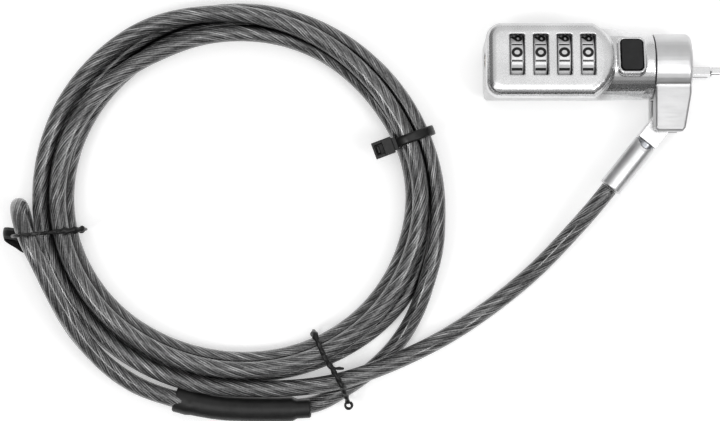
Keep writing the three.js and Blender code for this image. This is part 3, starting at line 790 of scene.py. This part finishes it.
add_metal_shells()
for dial_index in range(4):
    add_numbers(dial_index)
paint_carried_nodes()
ferrule = add_ferrule()


# ---------------------------------------------------------------- pieces on the cable
SLEEVE_PATH = [(-139.9, -100.4, 6), (-134, -102, 6), (-126, -103.4, 6), (-117, -104, 6),
               (-106, -104.1, 6), (-95.2, -103.7, 6)]
SLEEVE_STEP = 0.5
SLEEVE_SIDES = 40
CRIMP_HALF_WIDE = 3.9  # over the crimp
LEFT_CUFF_HALF_WIDE = 4.35
RIGHT_CUFF_HALF_WIDE = 3.0
CUFF_HALF_HIGH = 5.65
CRIMP_SWELL = 0.3  # how much higher the middle is than the cuffs
CUFF_LONG = 4.2  # of both cuffs by their height, and of the right one by its width
CUFF_SLOPE = 2.2
LEFT_CUFF_LONG = 4.6
LEFT_CUFF_SLOPE = 1.6
SLEEVE_ROUNDING = 0.3
SLEEVE_WAVE = 0.05


def sleeve_ring(run, total):
    """Half the sleeve's width and height at a place along it."""
    draw = ease((min(run, total - run) - CUFF_LONG) / CUFF_SLOPE)
    if run < total / 2:
        left = min(1.0, max(0.0, (run - LEFT_CUFF_LONG) / LEFT_CUFF_SLOPE))
        wide = LEFT_CUFF_HALF_WIDE + (CRIMP_HALF_WIDE - LEFT_CUFF_HALF_WIDE) * left
    else:
        wide = RIGHT_CUFF_HALF_WIDE + (CRIMP_HALF_WIDE - RIGHT_CUFF_HALF_WIDE) * draw
    return wide, CUFF_HALF_HIGH + CRIMP_SWELL * draw


def add_sleeve():
    """Heat-shrunk tube: thick over the crimp, drawn in over the cables at both ends."""
    line = smooth_path(SLEEVE_PATH, SLEEVE_STEP)
    _, side, _ = frames_along(line)
    total = (len(line) - 1) * SLEEVE_STEP
    verts = []
    for i, point in enumerate(line):
        run = i * SLEEVE_STEP
        wide, tall = sleeve_ring(run, total)
        lip = end_rounding(min(run, total - run), SLEEVE_ROUNDING)
        for a in ring_angles(SLEEVE_SIDES):
            y = (wide - lip) * math.cos(a)
            z = (wide - lip) * math.sin(a) + math.copysign(tall - wide, math.sin(a))
            wave = SLEEVE_WAVE * noise.noise(Vector((run * 0.5, y * 0.5, z * 0.5)))
            verts.append((Vector(point) + Vector(side[i]) * (y + wave) + Vector((0, 0, z))) * MM)
    sleeve = new_object("sleeve", verts, tube_faces(len(line), SLEEVE_SIDES))
    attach(sleeve, "cable")
    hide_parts("shrink_sleeve")
    paint(sleeve, SLEEVE_BLACK)
    return sleeve


def blocks(name, boxes, place, voxel, rounds):
    """Boxes (x0, x1, y0, y1, z0, z1) in mm, melted into one piece with soft edges and then placed."""
    verts, faces = [], []
    for x0, x1, y0, y1, z0, z1 in boxes:
        start = len(verts)
        verts += [Vector((x, y, z)) * MM for x in (x0, x1) for y in (y0, y1) for z in (z0, z1)]
        faces += [tuple(start + i for i in face) for face in BOX_FACES]
    obj = new_object(name, verts, faces)
    melt(obj, voxel, rounds)
    obj.data.transform(place)
    return obj


def dress_tie(pieces, node):
    for piece in pieces:
        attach(piece, "cable")
        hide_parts(node)
        paint(piece, TIE_BLACK)
    return pieces


def upright(middle, out, route):
    """Points of a route in an upright plane: steps outwards from its middle, and heights."""
    return [tuple(middle + out * s + Vector((0, 0, z))) for s, z in route]


def strap_section(angles, half_wide, half_thick, power):
    """Radii of a flat section: an oval at power 2, and squarer above."""
    x = np.abs(np.cos(angles)) / half_wide
    y = np.abs(np.sin(angles)) / half_thick
    return 1 / (x ** power + y ** power) ** (1 / power)


# Boxes of the zip tie's head, in mm: x outwards from the bundle's middle, y across and z up.
ZIP_HEAD = [
    (-14.3, -8.0, -2.75, 2.75, 1.4, 3.4),  # floor
    (-14.3, -13.55, -2.75, 2.75, 1.4, 6.1),  # end wall
    (-14.3, -8.0, -2.75, -1.75, 1.4, 6.1),  # side walls
    (-14.3, -8.0, 1.75, 2.75, 1.4, 6.1),
    (-10.9, -7.6, -2.75, 2.75, 1.4, 6.3),  # block that holds the strap
    (-13.0, -12.3, -1.2, 1.2, 3.2, 5.3),  # pawl
    (-8.2, -6.2, -2.1, 2.1, 2.6, 5.6),  # neck
]
ZIP_TURN = math.radians(20.5)
ZIP_AT = Vector((-61, -14.2, 7.9))
ZIP_STRAP_R = (7.35, 7.05)  # outwards and upwards
ZIP_STRAP_ENDS_DEG = (150, -202)
ZIP_STRAP_HALF = (1.6, 0.55)  # its width and thickness
ZIP_TEETH = 0.03


def add_zip_tie():
    """A strap round the bundle and its head, with the slot and the pawl at the head's end."""
    out = Vector((math.cos(ZIP_TURN), math.sin(ZIP_TURN), 0))
    middle = ZIP_AT - out * 0.95
    route = upright(middle, out, arc(0, 0, *ZIP_STRAP_R, *ZIP_STRAP_ENDS_DEG, 96))
    half_wide, half_thick = ZIP_STRAP_HALF

    def section(run, angles):
        return strap_section(angles, half_wide + ZIP_TEETH * math.sin(run * 9), half_thick, 6)

    strap = swept("zip_strap", np.array(route), section, 24)
    place = Matrix.Translation((middle + out * 0.9) * MM) @ Matrix.Rotation(ZIP_TURN, 4, "Z")
    head = blocks("zip_head", ZIP_HEAD, place, 0.11, 5)
    return dress_tie([strap, head], "zip_tie")


TWIST_LAY = 3.4
WIRE_R = 0.55
EYE_WIRE_R = 0.5
EYE_R = 1.1
EYE_TILT = 0.4


def twisted(name, points, radius_at):
    """Two covered wires twisted together: a line with a two-lobed, turning section."""
    def section(run, angles):
        return radius_at(run) * (0.70 + 0.30 * np.abs(np.cos(angles + math.pi * run / TWIST_LAY)))

    return swept(name, smooth_path(points, 0.3), section, 16)


LEFT_TIE_AT = Vector((-178.1, -45.5, 0))
LEFT_TIE_OUT = Vector((-0.995, -0.1, 0))
LEFT_OVER = [(-8.6, 12.4), (-7.2, 15.0), (-4.6, 16.3), (0, 16.6), (3, 18.0), (4.4, 24.0), (6.0, 29.3),
             (8.2, 30.2), (10.6, 28.6), (12.4, 24), (13.4, 19)]
LEFT_UNDER = [(13.4, 19), (14.2, 12), (14.3, 5), (12.8, 1.7), (10, 0.75), (0, 0.7), (-5.4, 0.95),
              (-8.3, 4.6), (-8.9, 9.5), (-8.6, 12.4)]
LEFT_FLAP = [(-187.6, -46.6, 20.5), (-191.4, -46.0, 18.6), (-194.6, -45.9, 16.2), (-194.4, -47.3, 13.8),
             (-191.6, -49.3, 11.8), (-189.3, -50.9, 9.8), (-188.3, -49.2, 8.0), (-188.9, -46.8, 6.5)]
KNOT_LONG = 9.5
KNOT_R = 1.15
RIBBON_R = 0.62
FLAP_HALF = (1.9, 0.28)  # its width and thickness


def left_radius(run):
    """Thick and uneven over the knot, then thinner."""
    if run < KNOT_LONG:
        return KNOT_R + 0.22 * math.sin(run * 1.9)
    return RIBBON_R + 0.5 * math.exp(-(run - KNOT_LONG))


def add_left_tie():
    """Round the bundle and the loop's end: knotted on the right, a folded ribbon end on the left."""
    over = twisted("tie_left_over", upright(LEFT_TIE_AT, LEFT_TIE_OUT, LEFT_OVER), left_radius)
    under = twisted("tie_left_under", upright(LEFT_TIE_AT, LEFT_TIE_OUT, LEFT_UNDER), lambda run: WIRE_R)
    flap = swept("tie_left_flap", smooth_path(LEFT_FLAP, 0.4),
                 lambda run, angles: strap_section(angles, *FLAP_HALF, 2), 16)
    return dress_tie([over, under, flap], "twist_tie_left")


LOWER_OVER = [(-94.0, -78.8, 11.8), (-93.6, -79.4, 14.8), (-92.2, -82.3, 16.1), (-90.6, -85.9, 16.2),
              (-88.6, -89.3, 15.2), (-86.8, -92.2, 14.3), (-85.2, -95.2, 13.6), (-84.1, -97.8, 11.6),
              (-83.4, -99.8, 9.4), (-83.0, -101.6, 8.2)]
LOWER_LOOSE = [(-88.6, -89.3, 15.4), (-87.0, -89.9, 15.0), (-85.6, -90.0, 13.6), (-84.6, -90.2, 12.2)]
LOWER_UNDER = [(-94.0, -78.8, 11.8), (-94.3, -78.2, 8.5), (-94.1, -78.4, 4.4), (-92.9, -80.9, 0.95),
               (-90.4, -85.9, 0.7), (-87.3, -92.2, 0.7), (-84.4, -98.1, 0.9), (-83.0, -101.2, 2.6),
               (-82.7, -101.8, 5.2), (-82.9, -101.8, 7.6)]
EYE_AT = Vector((-82.7, -102.7, 7.4))
KNOB_AT = 1.6
KNOB_HALF_LONG = 1.7
KNOB_SWELL = 0.5
LOWER_R = 0.86


def lower_radius(run):
    """A knob near the start, and small swells after it."""
    knob = KNOB_SWELL * math.exp(-((run - KNOB_AT) / KNOB_HALF_LONG) ** 2)
    return LOWER_R + knob + 0.1 * math.sin(run * 2.3)


def add_lower_tie():
    """Over the bundle and the free cable: a knob on the inside, a small eye on the outside."""
    over = twisted("tie_lower_over", LOWER_OVER, lower_radius)
    turns = [math.radians(70 + 25 * i) for i in range(15)]
    ring = [EYE_AT + Vector((EYE_R * math.cos(a), EYE_R * math.sin(a), EYE_TILT * math.cos(a)))
            for a in turns]
    eye = twisted("tie_lower_eye", ring, lambda run: EYE_WIRE_R)
    loose = twisted("tie_lower_loose", LOWER_LOOSE, lambda run: WIRE_R)
    under = twisted("tie_lower_under", LOWER_UNDER, lambda run: WIRE_R)
    return dress_tie([over, eye, loose, under], "twist_tie_lower")


sleeve = add_sleeve()
zip_tie = add_zip_tie()
tie_left = add_left_tie()
tie_lower = add_lower_tie()

[tuple(p) for p in CABLE_LINE * MM]


# ---------------------------------------------------------------- studio, in metres
FLOOR_HALF = 3.0
FLOOR_GLOW = 0.34
LIT_POINT = Vector((-0.07, -0.03, 0.01))
# Greys of the world from straight down, at 0, to straight up, at 1.
FRONT_SKY = [(0.0, 0.03), (0.36, 0.08), (0.60, 0.27), (0.80, 0.46), (0.94, 0.72), (1.0, 0.86)]
BACK_SKY = [(0.0, 0.66), (0.50, 0.74), (0.90, 0.80), (1.0, 0.86)]


def add_floor():
    corners = [(x * FLOOR_HALF, y * FLOOR_HALF, 0) for x, y in ((-1, -1), (1, -1), (1, 1), (-1, 1))]
    floor = new_object("floor", corners, [(0, 1, 2, 3)], smooth=False)
    n = Nodes("pale floor")
    cloud = n.object_noise(4, 2)
    n.link(n.ramp(cloud, "Fac", (0.90, 0.90, 0.90), (0.92, 0.92, 0.92)), "Color", n.shader, "Base Color")
    n.set(Roughness=0.9, Specular_IOR_Level=0.0, Emission_Strength=FLOOR_GLOW, Emission_Color=(1, 1, 1, 1))
    paint(floor, n.material)


def add_light(name, place, size, watts):
    data = bpy.data.lights.new(name, "AREA")
    data.shape = "RECTANGLE"
    data.size, data.size_y = size
    data.energy = watts
    light = bpy.data.objects.new(name, data)
    light.location = place
    light.rotation_euler = (LIT_POINT - Vector(place)).to_track_quat("-Z", "Y").to_euler()
    scene.collection.objects.link(light)


def grey_ramp(tree, source, stops):
    node = tree.nodes.new("ShaderNodeValToRGB")
    node.color_ramp.interpolation = "EASE"
    while len(node.color_ramp.elements) < len(stops):
        node.color_ramp.elements.new(0.5)
    for element, (position, value) in zip(node.color_ramp.elements, stops):
        element.position = position
        element.color = (value, value, value, 1)
    tree.links.new(source, node.inputs["Fac"])
    return node


def smooth_range(tree, source, *ranges):
    node = tree.nodes.new("ShaderNodeMapRange")
    node.interpolation_type = "SMOOTHSTEP"
    set_range(node, *ranges)
    tree.links.new(source, node.inputs["Value"])
    return node


def add_world():
    """A light tent: bright overhead and behind, falling to dark low down in front and to the left."""
    world = bpy.data.worlds.new("studio")
    world.use_nodes = True
    tree = world.node_tree
    place = tree.nodes.new("ShaderNodeTexCoord")
    split = tree.nodes.new("ShaderNodeSeparateXYZ")
    tree.links.new(place.outputs["Generated"], split.inputs["Vector"])
    front = grey_ramp(tree, split.outputs["Z"], FRONT_SKY)
    back = grey_ramp(tree, split.outputs["Z"], BACK_SKY)
    turn = smooth_range(tree, split.outputs["Y"], -0.05, 0.35, 0.0, 1.0)
    mix = tree.nodes.new("ShaderNodeMixRGB")
    tree.links.new(turn.outputs["Result"], mix.inputs["Fac"])
    tree.links.new(front.outputs["Color"], mix.inputs["Color1"])
    tree.links.new(back.outputs["Color"], mix.inputs["Color2"])
    shade = smooth_range(tree, split.outputs["X"], -0.75, -0.12, 0.28, 1.0)
    background = tree.nodes["Background"]
    tree.links.new(mix.outputs["Color"], background.inputs["Color"])
    tree.links.new(shade.outputs["Result"], background.inputs["Strength"])
    scene.world = world


scene.view_settings.view_transform = "Standard"
add_floor()
add_world()
add_light("overhead", (-0.02, -0.015, 1.1), (0.7, 0.58), 1.85)
add_light("key_left", (-0.66, -0.34, 1.05), (0.26, 0.45), 3.1)
add_light("key_right", (0.55, -0.30, 1.05), (0.26, 0.45), 2.4)
